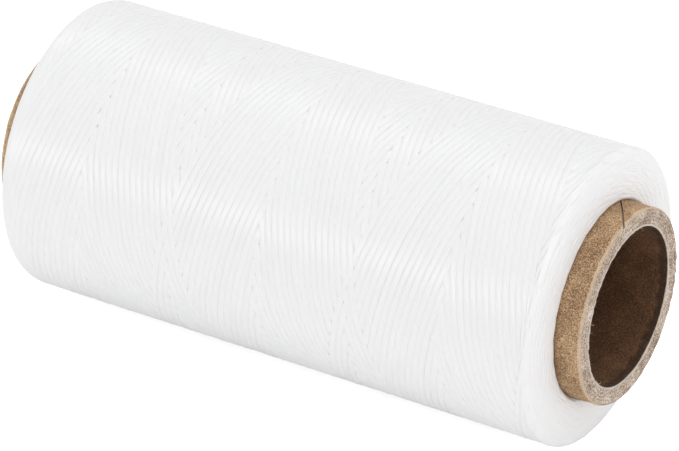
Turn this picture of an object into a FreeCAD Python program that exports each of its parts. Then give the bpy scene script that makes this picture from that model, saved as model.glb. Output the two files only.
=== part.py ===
import FreeCAD, Part
import math
import os

import Sketcher
from FreeCAD import Placement, Rotation, Vector

# Waxed thread spool: a spiral-wound paper tube with a cross-wound pack of thread on it.
# It lies on its side as it does on a bench. X is the axis of the bore, Z is up, and the
# origin is on the axis at the middle of the tube. Lengths are in millimetres.

doc = FreeCAD.newDocument("thread_spool")

BOARD_PLIES = 4
SECTION_SIDES = 4
DOUBLE_PASSES = 3
WHOLE_TURNS = 3
STEPS_PER_TURN = 4
TAIL_STEPS = 10


# Driving dimensions
DIMENSIONS = [
    ("bore_diameter", 25.4, "hole through the paper tube"),
    ("liner_thickness", 0.4, "innermost paper ply"),
    ("board_ply_thickness", 0.55, "each of the grey board plies"),
    ("kraft_thickness", 0.35, "outermost paper ply"),
    ("glue_line", 0.01, "radial room between two plies"),
    ("tube_length", 104.8, "paper tube from end to end"),
    ("seam_lead", 59.5, "axial travel of the outer ply's butt seam in one turn"),
    ("seam_gap", 0.3, "open width of that seam"),
    ("seam_end_angle", 100.3, "where it meets the +X end, degrees"),
    ("pack_length", 96.6, "thread from end to end"),
    ("pack_diameter", 47.4, "over the outermost thread"),
    ("pack_edge_bevel", 1.5, "bevel at each end of the inner layers"),
    ("tube_fit", 0.02, "radial room between the tube and the first layer"),
    ("thread_diameter", 0.35, "the thread's own thickness"),
    ("layer_gap", 0.42, "radial room where two threads cross"),
    ("seat_gap", 0.05, "radial room under the lower thread"),
    ("rest_flat_share", 0.1, "share of the thread cut flat where it rests"),
]

sheet = doc.addObject("Spreadsheet::Sheet", "sizes")
for row, (alias, value, note) in enumerate(DIMENSIONS, start=1):
    sheet.set("A%d" % row, alias)
    sheet.set("B%d" % row, str(value))
    sheet.set("C%d" % row, note)
    sheet.setAlias("B%d" % row, alias)

# Sizes that follow from the driving ones
DERIVED = [
    ("board_step", "board_ply_thickness + glue_line"),
    ("board_start", "bore_diameter / 2 + liner_thickness + glue_line"),
    ("kraft_start", "board_start + %d * board_step" % BOARD_PLIES),
    ("tube_radius", "kraft_start + kraft_thickness"),
    ("pack_radius", "pack_diameter / 2"),
    ("upper_path_radius", "pack_radius - thread_diameter / 2"),
    ("lower_path_radius", "upper_path_radius - thread_diameter - layer_gap"),
    ("inner_layers_radius", "lower_path_radius - thread_diameter / 2 - seat_gap"),
]
for row, (alias, formula) in enumerate(DERIVED, start=len(DIMENSIONS) + 2):
    sheet.set("A%d" % row, alias)
    sheet.set("B%d" % row, "=" + formula)
    sheet.setAlias("B%d" % row, alias)
doc.recompute()


def size(alias):
    return float(getattr(sheet, alias))


def origin_plane(body, role):
    for feature in body.Origin.OriginFeatures:
        if feature.Role == role:
            return feature
    raise RuntimeError("no plane " + role)


def half_section(body, name, formulas):
    """A rectangle in the XY plane, named by its distances from the two axes."""
    sketch = body.newObject("Sketcher::SketchObject", name)
    sketch.AttachmentSupport = (origin_plane(body, "XY_Plane"), [""])
    sketch.MapMode = "FlatFace"
    corners = [Vector(-2, 1, 0), Vector(2, 1, 0), Vector(2, 2, 0), Vector(-2, 2, 0)]
    for index, corner in enumerate(corners):
        sketch.addGeometry(Part.LineSegment(corner, corners[(index + 1) % 4]), False)
    for index in range(4):
        sketch.addConstraint(Sketcher.Constraint("Coincident", index, 2, (index + 1) % 4, 1))
    sketch.addConstraint(Sketcher.Constraint("Horizontal", 0))
    sketch.addConstraint(Sketcher.Constraint("Vertical", 1))
    sketch.addConstraint(Sketcher.Constraint("Horizontal", 2))
    sketch.addConstraint(Sketcher.Constraint("Vertical", 3))
    places = {
        "left": Sketcher.Constraint("DistanceX", -1, 1, 0, 1, -2.0),
        "right": Sketcher.Constraint("DistanceX", -1, 1, 0, 2, 2.0),
        "inner": Sketcher.Constraint("DistanceY", -1, 1, 0, 1, 1.0),
        "outer": Sketcher.Constraint("DistanceY", -1, 1, 2, 1, 2.0),
    }
    for side, constraint in places.items():
        index = sketch.addConstraint(constraint)
        sketch.renameConstraint(index, side)
        sketch.setExpression("Constraints." + side, formulas[side])
    return sketch


def spun_body(label, half_length, inner, outer):
    """A body of revolution about X whose half section is one rectangle."""
    body = doc.addObject("PartDesign::Body", label)
    body.Label = label
    formulas = {
        "left": "-(%s)" % half_length,
        "right": half_length,
        "inner": inner,
        "outer": outer,
    }
    sketch = half_section(body, label + "_section", formulas)
    ring = body.newObject("PartDesign::Revolution", label + "_ring")
    ring.Profile = sketch
    ring.ReferenceAxis = (sketch, ["H_Axis"])
    ring.Angle = 360.0
    sketch.Visibility = False
    doc.recompute()
    return body


# Paper tube
def cut_butt_seam(body, inner, outer):
    """Opens the helical gap between the edges of the paper strip that makes this ply.

    The cut starts beyond the -X end, on the XY plane, and is a right-handed helix about X.
    """
    turns_back = "(ceil(<<sizes>>.tube_length / <<sizes>>.seam_lead) + 1)"
    start = (
        "<<sizes>>.tube_length / 2 - (<<sizes>>.seam_end_angle / 360 + %s) * <<sizes>>.seam_lead"
        % turns_back
    )
    slope = "atan(<<sizes>>.seam_lead / (pi * 2 * (%s)))" % outer
    half_width = "<<sizes>>.seam_gap / 2 / cos(%s)" % slope
    margin = "<<sizes>>.kraft_thickness / 2"
    formulas = {
        "left": "%s - %s" % (start, half_width),
        "right": "%s + %s" % (start, half_width),
        "inner": "%s - %s" % (inner, margin),
        "outer": "%s + %s" % (outer, margin),
    }
    sketch = half_section(body, body.Label + "_seam_section", formulas)
    seam = body.newObject("PartDesign::SubtractiveHelix", body.Label + "_seam")
    seam.Profile = sketch
    seam.ReferenceAxis = (sketch, ["H_Axis"])
    seam.Mode = "pitch-turns-angle"
    seam.setExpression("Pitch", "<<sizes>>.seam_lead")
    seam.setExpression("Turns", "%s + 1" % turns_back)
    sketch.Visibility = False
    doc.recompute()
    return seam


TUBE_HALF = "<<sizes>>.tube_length / 2"
BORE_RADIUS = "<<sizes>>.bore_diameter / 2"

# The strips of the inner plies meet edge to edge, so only the outer ply's seam is open
liner_outer = BORE_RADIUS + " + <<sizes>>.liner_thickness"
liner = spun_body("tube_inner_liner", TUBE_HALF, BORE_RADIUS, liner_outer)

board_plies = []
for number in range(BOARD_PLIES):
    ply_inner = "<<sizes>>.board_start + %d * <<sizes>>.board_step" % number
    ply_outer = ply_inner + " + <<sizes>>.board_ply_thickness"
    ply_label = "tube_board_ply_%d" % (number + 1)
    board_plies.append(spun_body(ply_label, TUBE_HALF, ply_inner, ply_outer))

kraft = spun_body(
    "tube_outer_kraft_ply", TUBE_HALF, "<<sizes>>.kraft_start", "<<sizes>>.tube_radius"
)
cut_butt_seam(kraft, "<<sizes>>.kraft_start", "<<sizes>>.tube_radius")


# Thread: the inner layers, one plain drum
inner_layers = spun_body(
    "thread_inner_layers",
    "<<sizes>>.pack_length / 2",
    "<<sizes>>.tube_radius + <<sizes>>.tube_fit",
    "<<sizes>>.inner_layers_radius",
)


def outer_edges(shape, radius):
    names = []
    for index, edge in enumerate(shape.Edges, start=1):
        curve = edge.Curve
        if isinstance(curve, Part.Circle) and abs(curve.Radius - radius) < 1e-4:
            names.append("Edge%d" % index)
    return names


drum = inner_layers.Tip
shoulder = inner_layers.newObject("PartDesign::Chamfer", "thread_inner_layers_shoulder")
shoulder.Base = (drum, outer_edges(drum.Shape, size("inner_layers_radius")))
shoulder.setExpression("Size", "<<sizes>>.pack_edge_bevel")
doc.recompute()


# Thread: the outer winding
# One thread goes round and round while it travels from end to end. It goes towards +X on
# the lower path and comes back over itself on the upper one, and each double pass lands
# beside the last, which gives the crossed pattern of a precision-wound spool.
QUARTER = math.pi / 2


def on_rim(radius, angle, x):
    return Vector(x, radius * math.cos(angle), radius * math.sin(angle))


def heading(radius, angle, lead, way):
    slope = way * math.atan(lead / (2 * math.pi * radius))
    around = math.cos(slope)
    return Vector(math.sin(slope), -around * math.sin(angle), around * math.cos(angle))


def reversal_depth(radius, slope):
    """How far a quarter-turn arc goes past its two ends where the thread turns back."""
    rise = math.cos(slope) * math.sin(QUARTER / 2)
    half_turn = math.acos(math.cos(slope) * math.cos(QUARTER / 2))
    sagitta = radius * math.sin(QUARTER / 2) * math.tan(half_turn / 2)
    return sagitta * math.sin(slope) / math.hypot(math.sin(slope), rise)


def winding_plan(reach, radius, helix_turns):
    """The lead, and half the length of a straight pass, that fit between the reversals."""
    half_span = reach
    lead = 2 * half_span / helix_turns
    for _ in range(20):
        slope = math.atan(lead / (2 * math.pi * radius))
        half_span = reach - reversal_depth(radius, slope)
        lead = 2 * half_span / helix_turns
    return lead, half_span


def winding_stations():
    """Points that the thread passes, about a quarter turn apart, each with its heading."""
    upper = size("upper_path_radius")
    lower = size("lower_path_radius")
    reach = size("pack_length") / 2 - size("thread_diameter") / 2
    turns_per_pass = WHOLE_TURNS + 0.5 / DOUBLE_PASSES
    helix_turns = turns_per_pass - 0.25
    steps = round(helix_turns * STEPS_PER_TURN)
    step_angle = helix_turns * 2 * math.pi / steps
    lead, half_span = winding_plan(reach, (upper + lower) / 2, helix_turns)
    stations = []
    first_angle = -QUARTER
    angle = first_angle
    for number in range(2 * DOUBLE_PASSES):
        way = 1 if number % 2 == 0 else -1
        radius = lower if way > 0 else upper
        last = number == 2 * DOUBLE_PASSES - 1
        count = steps - TAIL_STEPS if last else steps
        for step in range(count + 1):
            x = way * half_span * (2 * step / steps - 1)
            turned = angle + step * step_angle
            stations.append((on_rim(radius, turned, x), heading(radius, turned, lead, way)))
        angle += count * step_angle + QUARTER
    turns = (angle - QUARTER - first_angle) / (2 * math.pi)
    print("outer winding: lead %.2f mm, %.2f turns" % (lead, turns))
    return stations


def arc_through(start, corner, end):
    """The arc from start to end whose tangents meet at corner."""
    middle = (start + end) / 2
    half_turn = math.atan2((corner - middle).Length, (end - start).Length / 2)
    ratio = math.tan(half_turn / 2) / math.tan(half_turn)
    return Part.Arc(start, middle + (corner - middle) * ratio, end)


def biarc(start, start_way, end, end_way):
    """Two arcs that join smoothly and leave and arrive in the given directions."""
    across = end - start
    both = start_way + end_way
    spread = 2 * (1 - start_way.dot(end_way))
    along = across.dot(both)
    reach = (math.sqrt(along**2 + spread * across.dot(across)) - along) / spread
    first_corner = start + start_way * reach
    second_corner = end - end_way * reach
    joint = (first_corner + second_corner) / 2
    return [arc_through(start, first_corner, joint), arc_through(joint, second_corner, end)]


def least_gap(curves, thickness):
    """The least distance between two stretches of the thread, less its thickness."""
    samples = 6
    points = []
    for curve in curves:
        span = curve.LastParameter - curve.FirstParameter
        for part in range(samples):
            points.append(curve.value(curve.FirstParameter + span * part / samples))
    travelled = [0.0]
    for before, after in zip(points, points[1:]):
        travelled.append(travelled[-1] + before.distanceToPoint(after))
    near = 10 * thickness
    least = float("inf")
    for one, point in enumerate(points):
        for two in range(one + 1, len(points)):
            other = points[two]
            if travelled[two] - travelled[one] > near and abs(other.x - point.x) < near:
                least = min(least, point.distanceToPoint(other))
    return least - thickness


def thread_section(centre, way, thickness):
    """A regular polygon square to the thread, its corners on the thread's outside."""
    side = way.cross(Vector(1, 0, 0)).normalize()
    up = way.cross(side).normalize()
    corners = []
    for number in range(SECTION_SIDES + 1):
        turn = 2 * math.pi * number / SECTION_SIDES
        offset = side * math.cos(turn) + up * math.sin(turn)
        corners.append(centre + offset * (thickness / 2))
    return Part.makePolygon(corners)


def make_outer_winding():
    thickness = size("thread_diameter")
    stations = winding_stations()
    curves = []
    for (start, start_way), (end, end_way) in zip(stations, stations[1:]):
        curves += biarc(start, start_way, end, end_way)
    first, first_way = stations[0]
    last, last_way = stations[-1]
    first_end = first - first_way * thickness
    last_end = last + last_way * thickness
    edges = [Part.LineSegment(first_end, first).toShape()]
    edges += [curve.toShape() for curve in curves]
    edges.append(Part.LineSegment(last, last_end).toShape())
    path = Part.Wire(edges)
    profile = thread_section(first_end, first_way, thickness)
    thread = path.makePipeShell([profile], True, False)
    area = SECTION_SIDES / 2 * math.sin(2 * math.pi / SECTION_SIDES) * (thickness / 2) ** 2
    print("outer winding: volume %.2f mm3, section times length %.2f mm3"
          % (thread.Volume, area * path.Length))
    print("outer winding: least gap to itself %.3f mm" % least_gap(curves, thickness))
    print("outer winding: least radius of its arcs %.2f mm"
          % min(edge.Curve.Radius for edge in edges[1:-1]))
    rest = size("pack_radius") - thickness * size("rest_flat_share")
    width = size("pack_diameter")
    floor = Part.makeBox(
        size("tube_length"), width, width,
        Vector(-size("tube_length") / 2, -width / 2, -rest - width),
    )
    return thread.cut(floor).Solids[0]


outer_winding = doc.addObject("Part::Feature", "thread_outer_winding")
outer_winding.Label = "thread_outer_winding"
outer_winding.Shape = make_outer_winding()
doc.recompute()

parts = [liner] + board_plies + [kraft, inner_layers, outer_winding]
for part in parts:
    part.Placement = Placement(Vector(0, 0, 0), Rotation())
doc.recompute()

# Checks and export
for item in doc.Objects:
    for state in item.State:
        if state in ("Invalid", "Error"):
            raise RuntimeError("%s is in state %s" % (item.Label, state))

for part in parts:
    shape = part.Shape
    if shape.isNull() or not shape.isValid():
        raise RuntimeError("%s has no valid shape" % part.Label)
    if len(shape.Solids) != 1:
        raise RuntimeError("%s has %d solids" % (part.Label, len(shape.Solids)))

os.makedirs("parts", exist_ok=True)
for part in parts:
    part.Shape.exportStep("parts/%s.step" % part.Label)
    print("%s: %.1f mm3" % (part.Label, part.Shape.Volume))
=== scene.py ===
# %% [markdown]
# # A spool of white waxed thread
# Waxed polyester thread is cross-wound on a short paper tube. The spool lies on its side.
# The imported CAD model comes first, as a fixed frame. Everything below is set in metres around
# it: the dressed paper tube, the wound thread, then the light and the camera.

# %% Load the fixed frame
import math

import bpy
import numpy as np
from mathutils import Matrix, Vector


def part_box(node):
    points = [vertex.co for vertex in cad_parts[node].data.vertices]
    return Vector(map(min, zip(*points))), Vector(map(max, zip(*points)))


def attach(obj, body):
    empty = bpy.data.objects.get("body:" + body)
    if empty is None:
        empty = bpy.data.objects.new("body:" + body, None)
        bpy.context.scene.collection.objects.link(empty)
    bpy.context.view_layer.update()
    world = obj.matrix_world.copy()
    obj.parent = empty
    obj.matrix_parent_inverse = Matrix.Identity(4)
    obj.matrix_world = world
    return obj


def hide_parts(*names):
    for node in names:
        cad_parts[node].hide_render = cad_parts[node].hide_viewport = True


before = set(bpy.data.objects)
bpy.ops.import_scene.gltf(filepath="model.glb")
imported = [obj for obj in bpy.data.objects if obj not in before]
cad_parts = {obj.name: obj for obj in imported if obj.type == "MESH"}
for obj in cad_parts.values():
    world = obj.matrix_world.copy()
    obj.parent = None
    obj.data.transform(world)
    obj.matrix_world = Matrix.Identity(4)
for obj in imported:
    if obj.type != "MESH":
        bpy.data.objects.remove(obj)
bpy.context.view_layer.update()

# %% [markdown]
# ## Sizes
# A modeller works from a few measured sizes. The tube's plies and the thread pack repeat the
# CAD's own sizes here, in millimetres, because the frame gives boxes but not wall thicknesses.
# One factor turns millimetres to metres when a mesh is made.

# %% The spool's sizes
MM = 0.001
HALF_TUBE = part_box("tube_outer_kraft_ply")[1].x / MM
TUBE_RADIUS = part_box("tube_outer_kraft_ply")[1].y / MM
BORE_RADIUS = 12.7
LINER = 0.4
BOARD_PLY = 0.55
GLUE = 0.01
KRAFT = 0.35
HALF_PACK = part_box("thread_outer_winding")[1].x / MM
PACK_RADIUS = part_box("thread_outer_winding")[1].y / MM
FLOOR_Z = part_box("thread_outer_winding")[0].z / MM
print("tube", round(HALF_TUBE * 2, 2), "x", round(TUBE_RADIUS * 2, 2), "mm")
print("pack", round(HALF_PACK * 2, 2), "x", round(PACK_RADIUS * 2, 2), "mm")

# %% [markdown]
# ## Helpers
# A colour picked on a screen is an sRGB hex value, but Blender's sockets want linear light, so one
# function turns the one to the other. A second adds a node, its settings and its links. A third makes
# a mesh piece from numbers, and a fourth starts a material. These few keep the rest easy to read.

# %% Colour, node and mesh helpers
# where a Mix node keeps its two colours and their mixture
COLOUR_A, COLOUR_B, MIXED = 6, 7, 2


def linear(hex_colour):
    """An sRGB hex value as the linear RGBA that a socket takes."""
    channels = [int(hex_colour[i : i + 2], 16) / 255 for i in (1, 3, 5)]
    light = [c / 12.92 if c <= 0.04045 else ((c + 0.055) / 1.055) ** 2.4 for c in channels]
    return (*light, 1.0)


def add(tree, kind, sockets=None, **settings):
    """One node. Settings are its properties. Sockets gives inputs a value or a node's output."""
    node = tree.nodes.new(kind)
    for name, value in settings.items():
        setattr(node, name, value)
    for name, value in (sockets or {}).items():
        if isinstance(value, bpy.types.NodeSocket):
            tree.links.new(value, node.inputs[name])
        else:
            node.inputs[name].default_value = value
    return node


def piece(name, points, faces, finish, stands_for=(), facts=None):
    """A smooth mesh piece from points in millimetres. It rides on the spool's one body."""
    mesh = bpy.data.meshes.new(name)
    mesh.from_pydata((np.asarray(points) * MM).tolist(), [], [tuple(f) for f in faces])
    mesh.polygons.foreach_set("use_smooth", [True] * len(mesh.polygons))
    for label, values in (facts or {}).items():
        layer = mesh.attributes.new(label, "FLOAT", "POINT")
        layer.data.foreach_set("value", np.asarray(values, np.float32))
    mesh.materials.append(finish)
    mesh.validate()
    made = bpy.data.objects.new(name, mesh)
    bpy.context.collection.objects.link(made)
    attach(made, "root")
    if stands_for:
        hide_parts(*stands_for)
    print(name, len(mesh.vertices), "points", len(mesh.polygons), "faces")


def finish_for(name):
    """An empty node material, its node tree and its Principled shader."""
    material = bpy.data.materials.new(name)
    material.use_nodes = True
    shader = material.node_tree.nodes["Principled BSDF"]
    return material, material.node_tree, shader


print("mid grey in linear light:", round(linear("#808080")[0], 3))

# %% [markdown]
# ## Camera
# The camera was fitted to the photo: the bore, the rim of the tube, the end of the pack and the
# outline fix its angle and its distance. A long lens, far away, keeps the two ends nearly the same
# size. The camera is set by three directions, which is plainer than juggling Euler angles.

# %% Camera
VIEW_DOWN = math.radians(30.41)
VIEW_TURN = math.radians(31.12)
VIEW_DISTANCE = 735.97
LENS = 249.92
# the point aimed at, along the axis, then left of it and below it in the picture
AIM_ALONG = 1.94
AIM_LEFT = 0.72
AIM_BELOW = 0.83

right = Vector((math.cos(VIEW_TURN), math.sin(VIEW_TURN), 0))
level = Vector((-math.sin(VIEW_TURN), math.cos(VIEW_TURN), 0))
forward = level * math.cos(VIEW_DOWN) - Vector((0, 0, math.sin(VIEW_DOWN)))
up = right.cross(forward)
aim = Vector((AIM_ALONG, 0, 0)) - right * AIM_LEFT - up * AIM_BELOW
camera_data = bpy.data.cameras.new("camera")
camera_data.sensor_width = 36
camera_data.sensor_fit = "HORIZONTAL"
camera_data.lens = LENS
camera = bpy.data.objects.new("camera", camera_data)
turned = Matrix((right, up, -forward)).transposed()
camera.matrix_world = Matrix.Translation((aim - forward * VIEW_DISTANCE) * MM) @ turned.to_4x4()
bpy.context.collection.objects.link(camera)
bpy.context.scene.camera = camera
print("camera at", [round(v, 4) for v in camera.matrix_world.translation])

# %% [markdown]
# ## Waxed polyester thread
# The thread is a bundle of continuous polyester filaments, waxed and rolled flat. To the eye it is
# white with a soft satin gloss, finely streaked along its length. The streaks follow the thread, so
# the mesh stores how far along the thread each point is, and a noise texture is stretched by it.

# %% Thread finish
# Streaks and broader patches per millimetre along the thread and across it. A real filament is about
# 0.02 mm thick, too fine to show, so a streak is drawn 0.4 mm wide and 4 mm long.
STREAKS_PER_MM = (0.25, 2.6, 1.0)
PATCHES_PER_MM = (0.06, 0.3, 1.0)
STREAK_RELIEF_MM = 0.03
# polyester under a thin film of wax, with a satin gloss that is a little duller on the streaks
THREAD_IOR = 1.55
THREAD_ROUGHNESS = (0.28, 0.31)


def waxed_polyester():
    material, tree, shader = finish_for("waxed_polyester_thread")
    run = add(tree, "ShaderNodeAttribute", attribute_name="run")
    side = add(tree, "ShaderNodeAttribute", attribute_name="side")
    place = add(tree, "ShaderNodeCombineXYZ", {"X": run.outputs["Fac"], "Y": side.outputs["Fac"]})
    # run counts millimetres along the thread and side millimetres across it
    streak_scale = add(tree, "ShaderNodeVectorMath", {0: place.outputs[0], 1: STREAKS_PER_MM},
                       operation="MULTIPLY")
    streaks = add(tree, "ShaderNodeTexNoise", {"Vector": streak_scale.outputs[0], "Scale": 1.0,
                                               "Detail": 3.0, "Roughness": 0.6})
    patch_scale = add(tree, "ShaderNodeVectorMath", {0: place.outputs[0], 1: PATCHES_PER_MM},
                      operation="MULTIPLY")
    patches = add(tree, "ShaderNodeTexNoise", {"Vector": patch_scale.outputs[0], "Scale": 1.0,
                                               "Detail": 1.0})
    both = add(tree, "ShaderNodeMath", {0: streaks.outputs["Fac"], 1: patches.outputs["Fac"]},
               operation="ADD")
    colour = add(tree, "ShaderNodeMapRange", {"Value": both.outputs[0], "From Min": 0.7,
                                              "From Max": 1.3})
    tint = add(tree, "ShaderNodeMix", {"Factor": colour.outputs[0]}, data_type="RGBA")
    tint.inputs[COLOUR_A].default_value = linear("#F1F1F2")
    tint.inputs[COLOUR_B].default_value = linear("#F5F5F6")
    smoothest, dullest = THREAD_ROUGHNESS
    gloss = add(tree, "ShaderNodeMapRange", {"Value": streaks.outputs["Fac"], "From Min": 0.3,
                                             "From Max": 0.7, "To Min": smoothest, "To Max": dullest})
    relief = add(tree, "ShaderNodeBump", {"Height": streaks.outputs["Fac"], "Strength": 0.12,
                                          "Distance": STREAK_RELIEF_MM * MM})
    tree.links.new(tint.outputs[MIXED], shader.inputs["Base Color"])
    tree.links.new(gloss.outputs[0], shader.inputs["Roughness"])
    tree.links.new(relief.outputs[0], shader.inputs["Normal"])
    shader.inputs["IOR"].default_value = THREAD_IOR
    return material


thread_finish = waxed_polyester()
print("made", thread_finish.name)

# %% [markdown]
# ## Papers of the tube
# The tube is spiral-wound paper. Its outside is unbleached kraft: tan, matt, with darker and paler
# fibre specks of a few tenths of a millimetre. Inside the wall is grey board of recycled fibre, and
# its sawn end is fuzzy. The liner in the bore is darker kraft. All three are one recipe with other
# colours, so one function makes them, with the specks worked out from a real size.

# %% Paper finishes
# clouds of tone are a few millimetres across, and a painted edge band frays in steps of about a
# millimetre
CLOUD_MM = 3.5
FRAY_MM = 1.2
CLOUD_SHARE = 0.25
MIDDLE_TONE = 0.5 + CLOUD_SHARE / 2
# a painted edge band fades in over this share of its reach, to both sides
EDGE_FADE = 0.25
PAPER_ROUGHNESS = 0.85
PAPER_IOR = 1.45


def spiral_wound_paper(name, dark, base, pale, speck_mm, spread, relief_mm, painted_edge_bands=()):
    """Specks from dark over base to pale. Each edge band paints light or shade by the sawn end: a
    tint, its strength, reach and raggedness.
    """
    material, tree, shader = finish_for(name)
    where = add(tree, "ShaderNodeTexCoord")
    specks = add(tree, "ShaderNodeTexNoise", {"Vector": where.outputs["Object"], "Detail": 4.0,
                                              "Scale": 1 / (speck_mm * MM), "Roughness": 0.7})
    clouds = add(tree, "ShaderNodeTexNoise", {"Vector": where.outputs["Object"], "Detail": 2.0,
                                              "Scale": 1 / (CLOUD_MM * MM)})
    cloudy = add(tree, "ShaderNodeMath", {0: clouds.outputs["Fac"], 1: CLOUD_SHARE},
                 operation="MULTIPLY")
    tone = add(tree, "ShaderNodeMath", {0: specks.outputs["Fac"], 1: cloudy.outputs[0]},
               operation="ADD")
    shades = add(tree, "ShaderNodeValToRGB", {"Fac": tone.outputs[0]})
    ramp = shades.color_ramp
    ramp.elements[0].position = MIDDLE_TONE - spread
    ramp.elements[0].color = linear(dark)
    ramp.elements[1].position = MIDDLE_TONE + spread
    ramp.elements[1].color = linear(pale)
    ramp.elements.new(MIDDLE_TONE).color = linear(base)
    colour = shades.outputs["Color"]
    if painted_edge_bands:
        # bands of painted light and shade lie beside the sawn end, so the tint changes with the
        # distance to the end
        split = add(tree, "ShaderNodeSeparateXYZ", {0: where.outputs["Object"]})
        reach = add(tree, "ShaderNodeMath", {0: split.outputs["X"]}, operation="ABSOLUTE")
        rags = add(tree, "ShaderNodeTexNoise", {"Vector": where.outputs["Object"], "Detail": 4.0,
                                                "Scale": 1 / (FRAY_MM * MM), "Roughness": 0.6})
    for tint, strength, depth, ragged in painted_edge_bands:
        frayed = add(tree, "ShaderNodeMath", {0: rags.outputs["Fac"], 1: ragged * MM,
                                              2: reach.outputs[0]}, operation="MULTIPLY_ADD")
        middle = HALF_TUBE - depth + ragged / 2
        painted_band = add(tree, "ShaderNodeMapRange", {"Value": frayed.outputs[0], "To Max": strength,
                                                  "From Min": (middle - depth * EDGE_FADE) * MM,
                                                  "From Max": (middle + depth * EDGE_FADE) * MM})
        mix = add(tree, "ShaderNodeMix", {"Factor": painted_band.outputs[0]}, data_type="RGBA")
        tree.links.new(colour, mix.inputs[COLOUR_A])
        mix.inputs[COLOUR_B].default_value = linear(tint)
        colour = mix.outputs[MIXED]
    tree.links.new(colour, shader.inputs["Base Color"])
    relief = add(tree, "ShaderNodeBump", {"Height": specks.outputs["Fac"], "Strength": 0.6,
                                          "Distance": relief_mm * MM})
    tree.links.new(relief.outputs[0], shader.inputs["Normal"])
    shader.inputs["Roughness"].default_value = PAPER_ROUGHNESS
    shader.inputs["IOR"].default_value = PAPER_IOR
    return material


# painted highlight: a pale band is painted on the kraft's burnished corner
kraft_finish = spiral_wound_paper(
    "unbleached_kraft_paper", "#78593F", "#AD8B68", "#D9B992", speck_mm=0.22, spread=0.11,
    relief_mm=0.05, painted_edge_bands=[("#E4D0B8", 0.5, 0.5, 0.7)])
board_finish = spiral_wound_paper(
    "recycled_grey_board", "#7E6752", "#BCA693", "#F0E4D8", speck_mm=0.2, spread=0.1,
    relief_mm=0.12)
# painted shade: a darker ragged band is painted inside each end of the bore. The liner's very edge is
# painted pale, partly its paler cut edge and partly a painted highlight.
liner_finish = spiral_wound_paper(
    "brown_liner_kraft", "#3C281B", "#6C4C33", "#916B49", speck_mm=0.25, spread=0.17,
    relief_mm=0.06, painted_edge_bands=[("#2A1E16", 0.7, 1.5, 2.4), ("#E0D4C6", 0.85, 0.22, 0.2)])
print("made", kraft_finish.name, board_finish.name, liner_finish.name)


# %% Painted shade along the kraft strip's cut edge, on both sides of the seam's slit
def paint_seam_shade(material, shade_tint="#22160E", reach_mm=0.15):
    """The mesh says how far each point is from the strip's edge, and painted shade darkens the paper
    there.
    """
    tree = material.node_tree
    shader = tree.nodes["Principled BSDF"]
    edge = add(tree, "ShaderNodeAttribute", attribute_name="seam")
    painted_shade = add(tree, "ShaderNodeMapRange", {"Value": edge.outputs["Fac"], "From Max": reach_mm,
                                              "To Min": 1.0, "To Max": 0.0})
    mix = add(tree, "ShaderNodeMix", {"Factor": painted_shade.outputs[0]}, data_type="RGBA")
    tree.links.new(shader.inputs["Base Color"].links[0].from_socket, mix.inputs[COLOUR_A])
    mix.inputs[COLOUR_B].default_value = linear(shade_tint)
    tree.links.new(mix.outputs[MIXED], shader.inputs["Base Color"])
    print("painted seam shade reaches", reach_mm, "mm into", material.name)


paint_seam_shade(kraft_finish)

# %% [markdown]
# ## Board plies and liner
# Each ply is a ring as long as the tube. When the tube is sawn, the plies are torn unevenly, so each
# ring ends a few hundredths of a millimetre short of the next and its edge wanders. A ring is made by
# turning a small profile round the axis, and the wander is smooth noise that closes on itself.

# %% A smooth closed wander
def wander(count, waves, rng):
    """Closed smooth noise, about one in size: random strengths of the first waves round a ring."""
    angle = np.arange(count) * 2 * np.pi / count
    order = np.arange(1, waves + 1)
    strength = rng.normal(size=waves) / np.sqrt(waves / 2)
    shift = rng.uniform(0, 2 * np.pi, waves)
    return (strength[:, None] * np.cos(order[:, None] * angle + shift[:, None])).sum(0)


print("size of one wander:", round(float(wander(480, 60, np.random.default_rng(1)).std()), 2))


# %% Rings
# millimetres: how far the saw rounds a ply's corners, and from where inward its sides are smooth
CORNER = 0.08
SMOOTH_FROM = 1.2
TORN_WAVES = 60


def ply_ring(name, inner, outer, recess, roughness, finish, node, seed, count=480):
    """A paper ring as long as the tube but for its recess, with ends uneven by roughness."""
    rng = np.random.default_rng(seed)
    wall = outer - inner
    corner = min(CORNER, wall / 5)
    # radius, then how far in from the end; the profile runs round the wall
    near = [(outer, SMOOTH_FROM), (outer, corner * 1.6), (outer - corner * 0.4, corner * 0.4),
            (outer - wall * 0.35, 0), (inner + wall * 0.35, 0), (inner + corner * 0.4, corner * 0.4),
            (inner, corner * 1.6), (inner, SMOOTH_FROM)]
    profile = [(r, 1, d) for r, d in near] + [(r, -1, d) for r, d in near[::-1]]
    angle = np.arange(count) * 2 * np.pi / count
    points = np.zeros((count, len(profile), 3))
    for column, (radius, way, depth) in enumerate(profile):
        torn = recess + roughness * (0.5 + 0.5 * np.tanh(wander(count, TORN_WAVES, rng)))
        end = HALF_TUBE - depth - (torn if depth < SMOOTH_FROM else 0)
        points[:, column] = np.stack([way * (end + 0 * angle), radius * np.cos(angle),
                                      radius * np.sin(angle)], 1)
    piece(name, points.reshape(-1, 3), ring_faces(count, len(profile)), finish, [node])


def ring_faces(rings, around, closed=True):
    """Quads between neighbouring rows of points, each row a closed loop."""
    rows = np.arange(rings if closed else rings - 1)[:, None]
    columns = np.arange(around)[None, :]
    after = (rows + 1) % rings
    beside = (columns + 1) % around
    quads = np.stack([rows * around + columns, after * around + columns, after * around + beside,
                      rows * around + beside], -1)
    return quads.reshape(-1, 4).tolist()


liner_outer = BORE_RADIUS + LINER
ply_ring("liner_ply", BORE_RADIUS, liner_outer, recess=0.02, roughness=0.14, finish=liner_finish,
         node="tube_inner_liner", seed=11)
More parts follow.
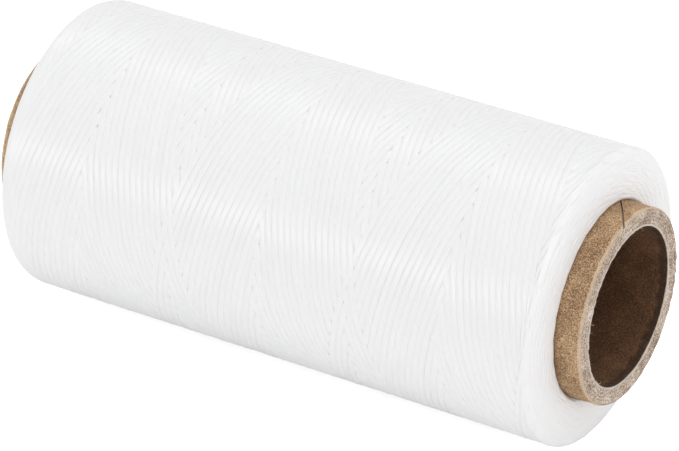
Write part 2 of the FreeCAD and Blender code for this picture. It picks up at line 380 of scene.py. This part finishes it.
# how far each board ply ends short of the tube's length, from the inside out
BOARD_RECESSES = (0.06, 0.0, 0.05, 0.0)
for number, recess in enumerate(BOARD_RECESSES, start=1):
    inside = liner_outer + GLUE + (number - 1) * (BOARD_PLY + GLUE)
    ply_ring("board_ply_" + str(number), inside, inside + BOARD_PLY, recess, roughness=0.1,
             finish=board_finish, node="tube_board_ply_" + str(number),
             seed=20 + number)

# %% [markdown]
# ## Torn fibres
# A saw pulls a few paper fibres out of the board, mostly along the edge of the bore. Each is a bent
# hair of a few hundredths of a millimetre. They are drawn about three times as thick as real ones, so
# that they show, and all of them are one mesh.

# %% Fibres on the sawn ends
FIBRE_THICK = 0.07
FIBRE_LENGTHS = (0.4, 1.1)
MOST_BEND = 1.6
# most fibres root at the edge of the bore and the others across the wall, so far out from the bore
EDGE_SHARE = 0.6
AT_EDGE = 0.1
ACROSS_WALL = (0.3, 2.4)
# a fibre starts a little under the sawn end, rises out of it, and thins by this share to its tip
SUNK = 0.1
RISE = 0.22
TAPER = 0.6


def torn_fibres(count=90, seed=51):
    rng = np.random.default_rng(seed)
    share = np.linspace(0, 1, 6)
    corners = np.arange(4) * np.pi / 2
    rows, faces = [], []
    for number in range(count):
        way = 1 if number % 2 else -1
        angle = rng.uniform(0, 2 * np.pi)
        root = BORE_RADIUS + (AT_EDGE if rng.uniform() < EDGE_SHARE else rng.uniform(*ACROSS_WALL))
        length = rng.uniform(*FIBRE_LENGTHS)
        heading = rng.uniform(0, 2 * np.pi)
        bend = rng.uniform(-MOST_BEND, MOST_BEND)
        turned = heading + bend * share
        radius = root + np.cumsum(np.cos(turned)) * length / len(share)
        across = np.cumsum(np.sin(turned)) * length / len(share)
        out = HALF_TUBE - SUNK + RISE * np.sin(share * np.pi * rng.uniform(0.5, 1.0))
        round_to = angle + across / root
        thick = FIBRE_THICK / 2 * (1 - TAPER * share)[:, None]
        x = way * (out[:, None] + thick * np.cos(corners))
        r = radius[:, None] - thick * np.sin(corners) * np.sin(turned)[:, None]
        round_to = round_to[:, None] + thick * np.sin(corners) * np.cos(turned)[:, None] / root
        rings = np.stack([x, r * np.cos(round_to), r * np.sin(round_to)], -1)
        first = number * len(share) * len(corners)
        last = first + (len(share) - 1) * len(corners)
        # the far end is a mirror image, so its faces run the other way round
        patch = np.array(ring_faces(len(share), len(corners), closed=False)) + first
        faces += patch[:, ::way].tolist()
        faces.append(list(range(first, first + len(corners)))[::way])
        faces.append(list(range(last, last + len(corners)))[::-way])
        rows.append(rings.reshape(-1, 3))
    piece("torn_paper_fibres", np.concatenate(rows), faces, board_finish)


torn_fibres()

# %% [markdown]
# ## Kraft wrap
# The outer ply is one strip wound round the tube like a bandage, and its two long sides meet in an
# open helical seam. A grid of points is twisted with the seam: each row starts at one edge of the
# strip and ends at the other, so the seam is a true slit, and painted shade lines it. At both ends the
# paper is burnished round the corner of the wall, and a pale line is painted there as a highlight
# beside the sawn end.

# %% Kraft wrap
SEAM_LEAD = 59.5
SEAM_GAP = 0.3
SEAM_ANGLE = math.radians(100.3)
# the burnished corner: how far it reaches along the tube, and what share of the ply it takes off
CORNER_ALONG = 0.7
CORNER_DROP = 0.85
# the surface lies this much under the CAD's, which leaves room for its curl, swell and torn edge
LAID_UNDER = 0.06
CURL = 0.05
CURL_FADE = 90
SWELL = 0.01
TORN = 0.05


def kraft_wrap(count=420, seed=31):
    rng = np.random.default_rng(seed)
    inside = TUBE_RADIUS - KRAFT
    # shares of the corner's length, each with the share of its drop
    turnover = [(0.0, 0.0), (0.35, 0.06), (0.65, 0.3), (0.88, 0.62), (1.0, 1.0)]
    corner = [(HALF_TUBE - CORNER_ALONG * (1 - a), CORNER_DROP * KRAFT * b) for a, b in turnover]
    middle = np.linspace(-HALF_TUBE + CORNER_ALONG, HALF_TUBE - CORNER_ALONG, 54)
    stations = [(-x, drop) for x, drop in corner[:0:-1]] + [(x, 0.0) for x in middle] + corner[1:]
    share = np.linspace(0, 1, count)
    swell = SWELL * wander(count, 14, rng)
    torn = TORN * (1 + np.tanh(wander(count, 50, rng)))
    outer, inner = [], []
    for x, drop in stations:
        start = SEAM_ANGLE + 2 * np.pi * (x - HALF_TUBE) / SEAM_LEAD + SEAM_GAP / 2 / TUBE_RADIUS
        angle = start + share * (2 * np.pi - SEAM_GAP / TUBE_RADIUS)
        # the strip's edges curl up a little beside the seam
        curl = CURL * (np.exp(-share * CURL_FADE) + np.exp(-(1 - share) * CURL_FADE))
        radius = TUBE_RADIUS - drop - LAID_UNDER + curl + swell
        end = x - math.copysign(1, x) * torn * (drop / KRAFT)
        outer.append(np.stack([end, radius * np.cos(angle), radius * np.sin(angle)], 1))
        inner.append(np.stack([end, inside * np.cos(angle), inside * np.sin(angle)], 1))
    points = np.concatenate([np.stack(outer), np.stack(inner)])
    rows = len(stations)
    number = np.arange(2 * rows * count).reshape(2, rows, count)
    faces = []
    for layer, flip in ((number[0], False), (number[1], True)):
        quads = np.stack([layer[:-1, :-1], layer[:-1, 1:], layer[1:, 1:], layer[1:, :-1]], -1)
        faces.append((quads[..., ::-1] if flip else quads).reshape(-1, 4))
    for row, flip in ((0, True), (rows - 1, False)):
        quads = np.stack([number[0, row, :-1], number[0, row, 1:], number[1, row, 1:],
                          number[1, row, :-1]], -1)
        faces.append(quads[:, ::-1] if flip else quads)
    for column, flip in ((0, False), (count - 1, True)):
        quads = np.stack([number[0, :-1, column], number[0, 1:, column], number[1, 1:, column],
                          number[1, :-1, column]], -1)
        faces.append(quads[:, ::-1] if flip else quads)
    to_seam = np.minimum(share, 1 - share) * 2 * np.pi * TUBE_RADIUS
    piece("kraft_wrap", points.reshape(-1, 3), np.concatenate(faces).tolist(), kraft_finish,
          ["tube_outer_kraft_ply"], facts={"seam": np.tile(to_seam, 2 * rows)})


kraft_wrap()

# %% [markdown]
# ## How the thread is wound
# A winding machine turns the tube while a guide runs the thread from end to end. Here it makes
# 3 turns and a little for each pass, so each double pass starts one place further round, and after
# 29 double passes the pack is covered. Where two strands cross, the one wound later is on top. That
# alone makes the faint diamonds in the photo, so the path is worked out from the machine's numbers.

# %% The machine's numbers
# the lead is millimetres for each turn
LEAD = 32.38
DOUBLE_PASSES = 29
DOUBLE_TURNS = 6 + 1 / DOUBLE_PASSES
PASS_TURNS = DOUBLE_TURNS / 2
# where the straight runs would meet at each end, and the part of a turn that rounds them off
NEAR_APEX = 48.94
FAR_APEX = 48.76
NEAR_REVERSAL = 0.1445
FAR_REVERSAL = 0.3
# the first strand starts this part of a turn round, counted from the back (+Y)
START_TURN = 0.5656
# at a reversal a strand goes from above its neighbour to below it within this part of a turn
SWAP_TURNS = 0.06
print("turns in the outer cycle:", round(DOUBLE_PASSES * DOUBLE_TURNS, 1))


# %% The path of the guide
def ease(t):
    """A smooth step from 0 to 1."""
    t = np.clip(t, 0, 1)
    return t * t * (3 - 2 * t)


def guide(turn):
    """Where the guide lays the thread after so many turns, and how far each end's reversal is."""
    phase = np.mod(turn, DOUBLE_TURNS)
    straight = np.where(phase < PASS_TURNS, -FAR_APEX + LEAD * phase,
                        NEAR_APEX - LEAD * (phase - PASS_TURNS))
    to_near = phase - PASS_TURNS
    to_far = np.mod(turn + PASS_TURNS, DOUBLE_TURNS) - PASS_TURNS
    along = straight.copy()
    near = np.abs(to_near) < NEAR_REVERSAL / 2
    far = np.abs(to_far) < FAR_REVERSAL / 2
    along[near] = NEAR_APEX - LEAD * (to_near[near] ** 2 / NEAR_REVERSAL + NEAR_REVERSAL / 4)
    along[far] = -FAR_APEX + LEAD * (to_far[far] ** 2 / FAR_REVERSAL + FAR_REVERSAL / 4)
    return along, straight, to_near, to_far


print("furthest along, mm:", round(float(guide(np.linspace(0, DOUBLE_TURNS, 4001))[0].max()), 2))


# %% Which strand is on top
def under(turn):
    """0 where the strand is on top, 1 where the crossing strand covers it."""
    _, straight, to_near, to_far = guide(turn)
    place = START_TURN + turn
    double = np.clip(np.floor(turn / DOUBLE_TURNS), 0, DOUBLE_PASSES - 1)
    going = np.mod(turn, DOUBLE_TURNS) < PASS_TURNS
    back_start = START_TURN + NEAR_APEX / LEAD + PASS_TURNS
    out_start = START_TURN + FAR_APEX / LEAD
    crossed_back = DOUBLE_PASSES * np.mod(place + straight / LEAD - back_start, 1)
    crossed_out = DOUBLE_PASSES * np.mod(place - straight / LEAD - out_start, 1)
    seam = 1 - ease(np.where(going, crossed_back, crossed_out) - (DOUBLE_PASSES - 1))
    out_share = np.where(double == 0, 1, ease(crossed_back - double + 1) * seam)
    back_share = np.where(double == DOUBLE_PASSES - 1, 0, ease(crossed_out - double) * seam)
    share = np.where(going, out_share, back_share)
    for distance in (to_near, to_far):
        share = np.where(np.abs(distance) < SWAP_TURNS / 2, ease(distance / SWAP_TURNS + 0.5), share)
    return share


covered_share = under(np.linspace(0, DOUBLE_PASSES * DOUBLE_TURNS, 20001)).mean()
print("share of the thread that lies under another:", round(float(covered_share), 2))

# %% [markdown]
# ## The outer winding
# The thread is one flat band about 1 mm wide, so a flattened oval is swept along the path. It is
# drawn 1.25 mm wide, so that neighbours overlap a little and no dark gap opens between them. Rings
# stand close together where the thread dives under another or turns back, and further apart on the
# even stretches. A little seeded wander moves each strand sideways, as on the real pack. Where the
# path runs past the pack's side, it is laid on down the rounded ends.

# %% Rounded ends of the pack
# each end: where its rounding starts, where it meets the tube, and how square the curve is
ENDS = {1: (HALF_PACK - 1.9, HALF_PACK - 0.05, 2.6), -1: (HALF_PACK - 3.85, HALF_PACK - 0.3, 3.8)}


def end_curve(start, stop, square):
    """A squarish quarter ellipse from the pack's side down to the tube, with the distance along it."""
    turn = np.linspace(0, np.pi / 2, 900)
    x = start + (stop - start) * np.sin(turn) ** (2 / square)
    radius = TUBE_RADIUS + (PACK_RADIUS - TUBE_RADIUS) * np.cos(turn) ** (2 / square)
    length = np.concatenate([[0], np.cumsum(np.hypot(np.diff(x), np.diff(radius)))])
    return x, radius, np.arctan2(-np.gradient(radius), np.gradient(x)), length


END_CURVES = {way: end_curve(*numbers) for way, numbers in ENDS.items()}
FACE_LENGTH = {way: curve[3][-1] for way, curve in END_CURVES.items()}
print("mm from side to tube, near and far end:", round(FACE_LENGTH[1], 2), round(FACE_LENGTH[-1], 2))


def lie(along, depth):
    """A place along the pack, counted on down its rounded ends, at this depth under the surface."""
    x = along.copy()
    radius = np.full_like(along, PACK_RADIUS)
    lean = np.zeros_like(along)
    for way, (curve_x, curve_radius, curve_lean, length) in END_CURVES.items():
        past = way * along - curve_x[0]
        on = past > 0
        x[on] = way * np.interp(past[on], length, curve_x)
        radius[on] = np.interp(past[on], length, curve_radius)
        lean[on] = way * np.interp(past[on], length, curve_lean)
    return x - depth * np.sin(lean), radius - depth * np.cos(lean), lean


# %% Sweep a flat band along a path
def sweep(along, depth, angle, width, height, band):
    """Rings of a flat band along a path that lies on the pack."""
    x, radius, lean = lie(along, depth)
    centre = np.stack([x, radius * np.cos(angle), radius * np.sin(angle)], 1)
    ahead = np.gradient(centre, axis=0)
    ahead /= np.linalg.norm(ahead, axis=1, keepdims=True)
    outward = np.stack([np.sin(lean), np.cos(lean) * np.cos(angle), np.cos(lean) * np.sin(angle)], 1)
    across = np.cross(outward, ahead)
    across /= np.linalg.norm(across, axis=1, keepdims=True)
    outward = np.cross(ahead, across)
    band = np.array(band)
    return (centre[:, None] + across[:, None] * (band[:, 0] * width)[None, :, None]
            + outward[:, None] * (band[:, 1] * height)[None, :, None]), centre


def slow_wander(turn, step, rng):
    """Smooth noise of about one in size that changes over so many turns."""
    knots = np.arange(turn.min() - 2 * step, turn.max() + 3 * step, step)
    values = rng.normal(size=len(knots))
    place = (turn - knots[0]) / step
    base = np.floor(place).astype(int)
    return values[base] + (values[base + 1] - values[base]) * ease(place - base)


# %% Where the rings of the outer thread stand
# the thread starts and ends this part of a turn beyond the full cycle
HEAD_TURNS = 0.06
TAIL_TURNS = 0.12
LAST_TURN = DOUBLE_PASSES * DOUBLE_TURNS
# rings for each turn: on even stretches, then more where it dives and where it turns back
EVEN_RINGS = 46
DIVE_RINGS = 120
TURNING_RINGS = 80
# the steepest dive, in changes from top to bottom for each turn, and how near a reversal counts
STEEPEST_DIVE = 40
NEAR_TURNING = 0.09
FAR_TURNING = 0.08


def ring_turns(step=0.002):
    """The turn at which each ring stands."""
    fine = np.arange(-HEAD_TURNS, LAST_TURN + TAIL_TURNS, step)
    change = np.abs(np.gradient(under(fine), fine))
    _, _, to_near, to_far = guide(fine)
    turning = (np.abs(to_near) < NEAR_TURNING) | (np.abs(to_far) < FAR_TURNING)
    rings = EVEN_RINGS + DIVE_RINGS * np.clip(change / STEEPEST_DIVE, 0, 1) + TURNING_RINGS * turning
    total = np.concatenate([[0], np.cumsum(rings[:-1] * step)])
    return np.interp(np.arange(0, total[-1], 1.0), total, fine)


turns = ring_turns()
print("rings along the outer thread:", len(turns))

# %% How deep and how wide the outer thread lies
# millimetres: the strand, how far a covered one lies lower, and how far its top is under the surface
STRAND_WIDTH = 1.25
STRAND_HEIGHT = 0.34
DIVE = 0.19
SKIN = 0.015
# millimetres: how far a strand strays in depth, and sideways on the pack's side, where the straying
# starts this far in from the end and grows over this length
DEPTH_STRAY = 0.01
SIDE_STRAY = 0.02
STRAY_FROM = 1.2
STRAY_GROWS = 3
# both ends of the thread are tucked in under the far shoulder, so deep over so much of a turn
TAIL_DEPTH = 1.4
TAIL_TUCK = 0.1
HEAD_DEPTH = 0.8
HEAD_TUCK = 0.05
# just past a reversal the strand is pulled in, at this turn and over this part of one
PINCH_AT = 0.05
PINCH_TURNS = 0.03
# shares: how much a strand's width strays, and how much wider it gets where it spreads
WIDTH_STRAY = 0.02
WIDENING = 0.15
# it spreads over this part of a turn at each reversal, and by this much where it dives
NEAR_SPREAD = 0.07
FAR_SPREAD = 0.1
DIVE_SPREAD = 5


def hill(distance, size):
    """A smooth hill of height one, this many turns to each side."""
    return np.exp(-((distance / size) ** 2))


def strand_depth(turn, covered, to_near, to_far, rng):
    """How far the strand's middle lies under the pack's surface."""
    pinch = hill(to_near - PINCH_AT, PINCH_TURNS) + hill(to_far - PINCH_AT, PINCH_TURNS)
    depth = (STRAND_HEIGHT / 2 + SKIN + DIVE * (covered + 0.5 * pinch)
             + DEPTH_STRAY * slow_wander(turn, step=0.2, rng=rng))
    return (depth + TAIL_DEPTH * ease((turn - LAST_TURN) / TAIL_TUCK)
            + HEAD_DEPTH * ease(-turn / HEAD_TUCK))


def strand_scale(turn, covered, to_near, to_far, rng):
    """The strand spreads out where it turns back, and is pressed flatter and wider where it dives."""
    spread = hill(to_near, NEAR_SPREAD) + hill(to_far, FAR_SPREAD)
    spread += DIVE_SPREAD * covered * (1 - covered)
    return 1 + WIDTH_STRAY * slow_wander(turn, step=0.5, rng=rng) + WIDENING * spread


# %% The outer thread
# the band's outline, in shares of its width and height: a flat crown on steeper sides
BAND = [(-0.5, -0.1), (-0.42, 0.16), (-0.28, 0.4), (-0.1, 0.5), (0.1, 0.5), (0.28, 0.4),
        (0.42, 0.16), (0.5, -0.1), (0.0, -0.5)]


def outer_winding(turn):
    rng = np.random.default_rng(7)
    along, _, to_near, to_far = guide(turn)
    covered = under(turn)
    free = ease((HALF_PACK - STRAY_FROM - np.abs(along)) / STRAY_GROWS)
    along = along + free * SIDE_STRAY * slow_wander(turn, step=0.35, rng=rng)
    depth = strand_depth(turn, covered, to_near, to_far, rng)
    scale = strand_scale(turn, covered, to_near, to_far, rng)
    angle = -2 * np.pi * (START_TURN + turn)
    points, centre = sweep(along, depth, angle, STRAND_WIDTH, STRAND_HEIGHT, BAND)
    points = centre[:, None] + (points - centre[:, None]) * scale[:, None, None]
    points = points.reshape(-1, 3)
    points[:, 2] = np.maximum(points[:, 2], FLOOR_Z)
    around = len(BAND)
    faces = ring_faces(len(turn), around, closed=False)
    faces.append(list(range(around)))
    faces.append(list(range(len(points) - around, len(points)))[::-1])
    run = np.concatenate([[0], np.cumsum(np.linalg.norm(np.diff(centre, axis=0), axis=1))])
    side = np.array(BAND)[:, 0] * STRAND_WIDTH
    facts = {"run": np.repeat(run, around), "side": np.tile(side, len(turn))}
    print("thread length", round(run[-1] / 1000, 1), "m")
    piece("thread_winding", points, faces, thread_finish, ["thread_outer_winding"],
          facts=facts)


outer_winding(turns)

# %% [markdown]
# ## Thread below and the ends of the pack
# Under the outer cycle lie ten more like it. From outside they show only on the two ends of the pack,
# where every strand turns back in a short arc. So the body of the pack is one closed drum, which only
# backs the outer thread, and the arcs are modelled one by one, cycle under cycle, down to the tube.

# %% Under layers
# the drum's surface lies this many millimetres under the pack's
UNDER_DEPTH = 0.45


def under_layers(count=360):
    ends = {way: way * (ENDS[way][0] + np.linspace(0, FACE_LENGTH[way], 18)) for way in (-1, 1)}
    along = np.concatenate([ends[-1][::-1], ends[1]])
    x, radius, _ = lie(along, UNDER_DEPTH)
    radius = np.maximum(radius, TUBE_RADIUS)
    angle = np.arange(count)[:, None] * 2 * np.pi / count
    points = np.stack([x + 0 * angle, radius * np.cos(angle), radius * np.sin(angle)], -1)
    length = np.repeat(angle, len(x)) * PACK_RADIUS
    facts = {"run": length, "side": np.tile(x, count)}
    piece("thread_under_layers", points.reshape(-1, 3), ring_faces(count, len(x)), thread_finish,
          ["thread_inner_layers"], facts=facts)


under_layers()

# %% Turned-back strands on the ends
# millimetres: from one cycle's arcs to the next, and the size of a strand that is bent on edge
ARC_STEP = 0.44
ARC_WIDTH = 0.82
ARC_HEIGHT = 0.7
# an arc reaches this part of a turn to each side of its middle
ARC_REACH = 0.06
# millimetres: how far an arc's top is under the surface, and how far arcs stray in depth and place
ARC_SKIN = 0.05
ARC_SINK = 0.02
ARC_STRAY = 0.03
# arcs are spaced unevenly by this share of their spacing
UNEVEN = 0.12
# the streaks are laid out with the face's middle radius, and each arc starts further along the thread
FACE_RADIUS = 20
ARC_APART = 40
ARC = [(-0.5, 0.2), (-0.42, 0.36), (-0.28, 0.445), (-0.1, 0.5), (0.1, 0.5), (0.28, 0.445),
       (0.42, 0.36), (0.5, 0.2), (0.0, -0.5)]


def end_turns(name, way, reversal, first, seed):
    """Rows of arcs down one end, from so many millimetres round the shoulder to the tube."""
    rng = np.random.default_rng(seed)
    reach = np.linspace(-ARC_REACH, ARC_REACH, 13)
    rows, facts_run, faces = [], [], []
    count = 0
    for place in np.arange(first, FACE_LENGTH[way] - ARC_WIDTH / 3, ARC_STEP):
        start = rng.uniform()
        for strand in range(DOUBLE_PASSES):
            middle = start + (strand + UNEVEN * rng.normal()) / DOUBLE_PASSES
            along = way * (ENDS[way][0] + place + ARC_STRAY * rng.normal()
                           + ARC_STEP * reach / (2 * ARC_REACH))
            depth = (ARC_HEIGHT / 2 + ARC_SKIN + ARC_SINK * rng.uniform()
                     + LEAD * reach ** 2 / reversal)
            angle = -2 * np.pi * (middle + reach)
            rings, _ = sweep(along, depth, angle, ARC_WIDTH, ARC_HEIGHT, ARC)
            rows.append(rings.reshape(-1, 3))
            run = 2 * np.pi * reach * FACE_RADIUS + strand * ARC_APART
            facts_run.append(np.repeat(run, len(ARC)))
            patch = np.array(ring_faces(len(reach), len(ARC), closed=False)) + count
            faces += patch.tolist()
            faces.append(list(range(count, count + len(ARC))))
            count += len(reach) * len(ARC)
            faces.append(list(range(count - len(ARC), count))[::-1])
    points = np.concatenate(rows)
    side = np.tile(np.array(ARC)[:, 0] * STRAND_WIDTH, len(points) // len(ARC))
    facts = {"run": np.concatenate(facts_run), "side": side}
    piece(name, points, faces, thread_finish, facts=facts)


end_turns("thread_end_turns_near", 1, NEAR_REVERSAL, first=1.5, seed=41)
end_turns("thread_end_turns_far", -1, FAR_REVERSAL, first=2.3, seed=42)

# %% [markdown]
# ## Floor, world and lamps
# The photo has a pure white ground and very even light. An even world gives most of it, with a
# little more from above. Two long softboxes, one overhead and one in front, each draw a soft bright
# band along the spool, because the waxed strands shine where they mirror one. A third lights the
# near end and the bore. What the camera sees behind the spool is plain white, made with Light Path,
# so the ground gets white with no more light.

# %% World
def studio_world(even, above):
    """Even light from all round, growing by above towards the zenith."""
    world = bpy.data.worlds.new("even_studio")
    world.use_nodes = True
    tree = world.node_tree
    tree.nodes.clear()
    where = add(tree, "ShaderNodeTexCoord")
    split = add(tree, "ShaderNodeSeparateXYZ", {0: where.outputs["Generated"]})
    level = add(tree, "ShaderNodeMapRange", {"Value": split.outputs["Z"], "To Min": even,
                                             "To Max": even + above})
    soft = add(tree, "ShaderNodeBackground", {"Color": (1, 1, 1, 1), "Strength": level.outputs[0]})
    white = add(tree, "ShaderNodeBackground", {"Color": (1, 1, 1, 1), "Strength": 1.0})
    path = add(tree, "ShaderNodeLightPath")
    seen = add(tree, "ShaderNodeMath", {0: path.outputs["Is Camera Ray"],
                                        1: path.outputs["Is Glossy Ray"]}, operation="MAXIMUM")
    seen = add(tree, "ShaderNodeMath", {0: seen.outputs[0],
                                        1: path.outputs["Is Transmission Ray"]}, operation="MAXIMUM")
    mix = add(tree, "ShaderNodeMixShader", {0: seen.outputs[0], 1: soft.outputs[0],
                                            2: white.outputs[0]})
    add(tree, "ShaderNodeOutputWorld", {"Surface": mix.outputs[0]})
    bpy.context.scene.world = world
    print("world light", even, "all round and", round(even + above, 3), "from straight above")


studio_world(even=0.375, above=0.53)

# %% Softboxes
def softbox(name, towards, along, length, width, radiance):
    """A lamp one metre off in the direction towards, with its long side in the direction along."""
    data = bpy.data.lights.new(name, "AREA")
    data.shape = "RECTANGLE"
    data.size = length
    data.size_y = width
    data.energy = radiance * math.pi * length * width
    towards = Vector(towards).normalized()
    along = (Vector(along) - towards * towards.dot(Vector(along))).normalized()
    facing = Matrix((along, towards.cross(along), towards)).transposed()
    lamp = bpy.data.objects.new(name, data)
    lamp.matrix_world = Matrix.Translation(towards) @ facing.to_4x4()
    bpy.context.collection.objects.link(lamp)
    print(name, round(data.energy, 2), "W")


ALONG_SPOOL = (1, 0, 0)
ACROSS_SPOOL = (0, 1, 0)
softbox("overhead_softbox", (0, 0.31, 0.95), ALONG_SPOOL, length=1.8, width=0.3, radiance=1.35)
softbox("front_softbox", (-0.35, -0.97, 0.25), ALONG_SPOOL, length=1.4, width=0.15, radiance=3.6)
softbox("end_softbox", (1, 0, 0.1), ACROSS_SPOOL, length=0.6, width=0.9, radiance=1.8)

# %% Floor
# the camera alone sees this much added, so the lit floor turns white and keeps the spool's shadow
FLOOR_GLOW = 0.6
# millimetres: half the floor's side, and how far it lies under the spool
HALF_FLOOR = 1500
FLOOR_GAP = 0.02


def studio_floor():
    material, tree, shader = finish_for("white_studio_floor")
    shader.inputs["Base Color"].default_value = linear("#FFFFFF")
    shader.inputs["Roughness"].default_value = 0.9
    path = add(tree, "ShaderNodeLightPath")
    glow = add(tree, "ShaderNodeMath", {0: path.outputs["Is Camera Ray"], 1: FLOOR_GLOW},
               operation="MULTIPLY")
    shader.inputs["Emission Color"].default_value = linear("#FFFFFF")
    tree.links.new(glow.outputs[0], shader.inputs["Emission Strength"])
    z = FLOOR_Z - FLOOR_GAP
    corners = [(x * HALF_FLOOR, y * HALF_FLOOR, z) for x, y in ((-1, -1), (1, -1), (1, 1), (-1, 1))]
    mesh = bpy.data.meshes.new("floor")
    mesh.from_pydata([[v * MM for v in corner] for corner in corners], [], [(0, 1, 2, 3)])
    mesh.materials.append(material)
    floor = bpy.data.objects.new("floor", mesh)
    bpy.context.collection.objects.link(floor)
    print("floor at", round(z, 2), "mm")


studio_floor()

# %% [markdown]
# The Standard view shows each colour as it is written.

bpy.context.scene.view_settings.view_transform = "Standard"
